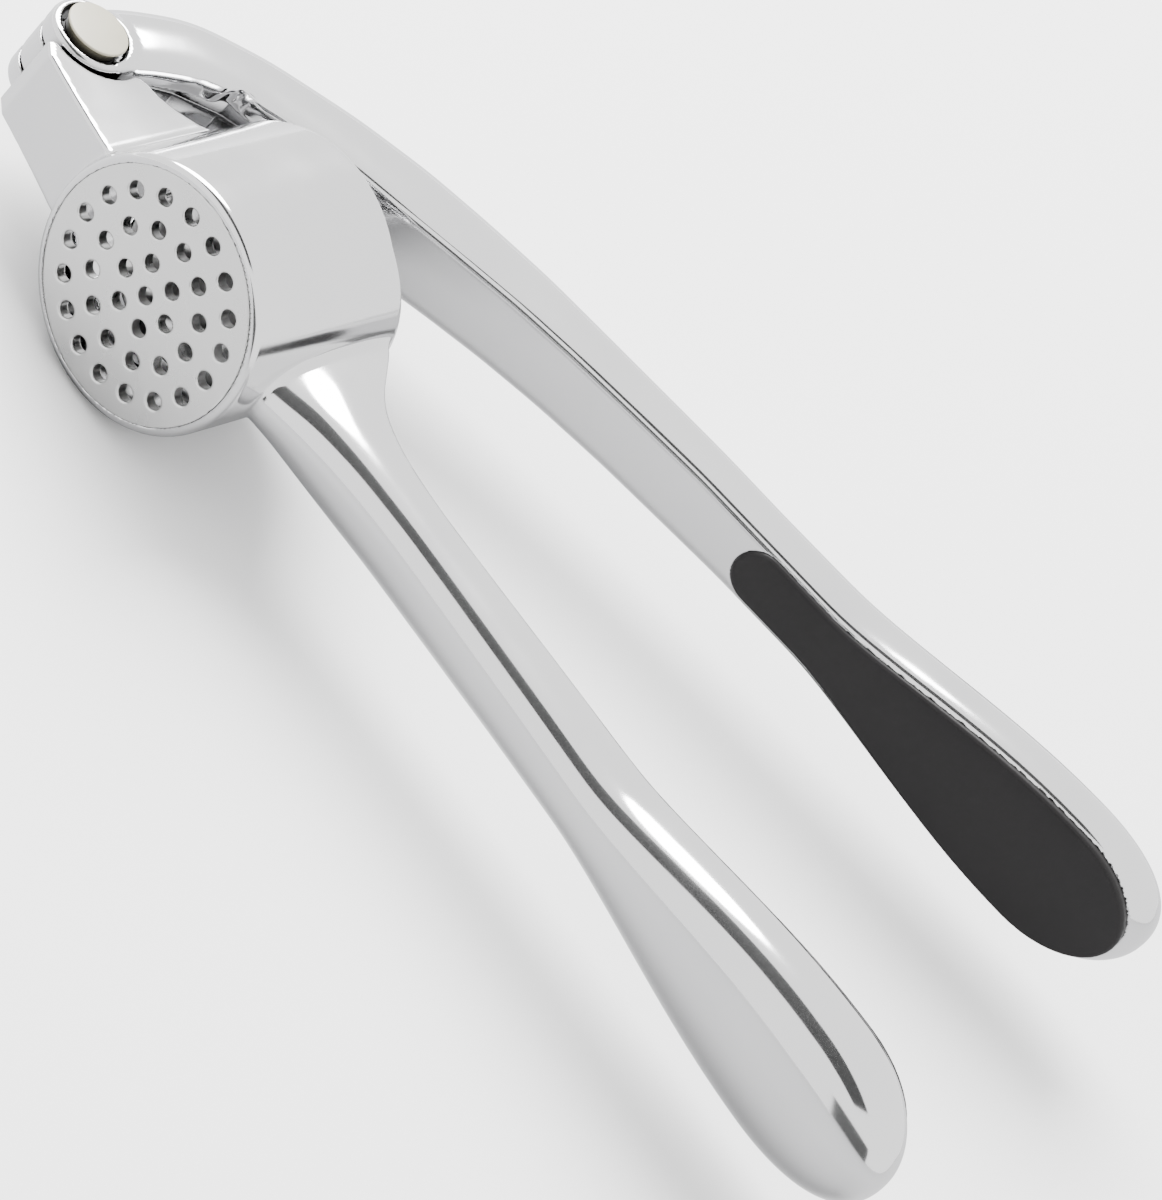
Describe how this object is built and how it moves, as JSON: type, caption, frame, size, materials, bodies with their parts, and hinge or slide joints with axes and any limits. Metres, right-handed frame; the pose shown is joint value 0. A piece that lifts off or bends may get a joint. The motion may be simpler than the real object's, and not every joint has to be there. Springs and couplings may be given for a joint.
{
  "type": "garlic press",
  "caption": "Two-lever garlic press lying on its side: perforated hopper on the lower handle, hinged upper handle with a plunger, soft grips.",
  "frame": {"origin": "middle of the bounding box's underside, where the press lies on a table", "axes": "+X from the hinge to the handle ends, +Y along the hopper from its perforated outlet to its rim, +Z along the hinge pin, up"},
  "size_m": [0.1852, 0.0986, 0.0364],
  "materials": {
    "chrome_plate": "bright chrome plate on a zinc casting",
    "strainer_steel": "satin",
    "pin_steel": "turned steel",
    "cream_cap": "smooth cream plastic",
    "grip_rubber": "satin black soft grip"
  },
  "bodies": {
    "body": {"hopper_body": "chrome_plate", "strainer": "strainer_steel", "lower_grip": "grip_rubber"},
    "lever_body": {"lever": "chrome_plate", "upper_grip": "grip_rubber", "hinge_pin": "pin_steel", "pin_cap_upper": "cream_cap", "pin_cap_lower": "cream_cap"},
    "plunger_body": {"plunger": "chrome_plate", "plunger_pin": "pin_steel"}
  },
  "joints": [
    {"name": "lever_hinge", "type": "hinge", "parent": "body", "child": "lever_body", "pos_m": [-0.08643, -0.03391, 0.01823], "axis": [0, 0, 1], "range_deg": [-16, 100]},
    {"name": "plunger_hinge", "type": "hinge", "parent": "lever_body", "child": "plunger_body", "pos_m": [-0.05131, -0.0305, 0.01823], "axis": [0, 0, 1], "range_deg": [-3, 16]}
  ],
  "couplings": [
    {"joint": "plunger_hinge", "follows": "lever_hinge", "ratio": 0.15}
  ]
}
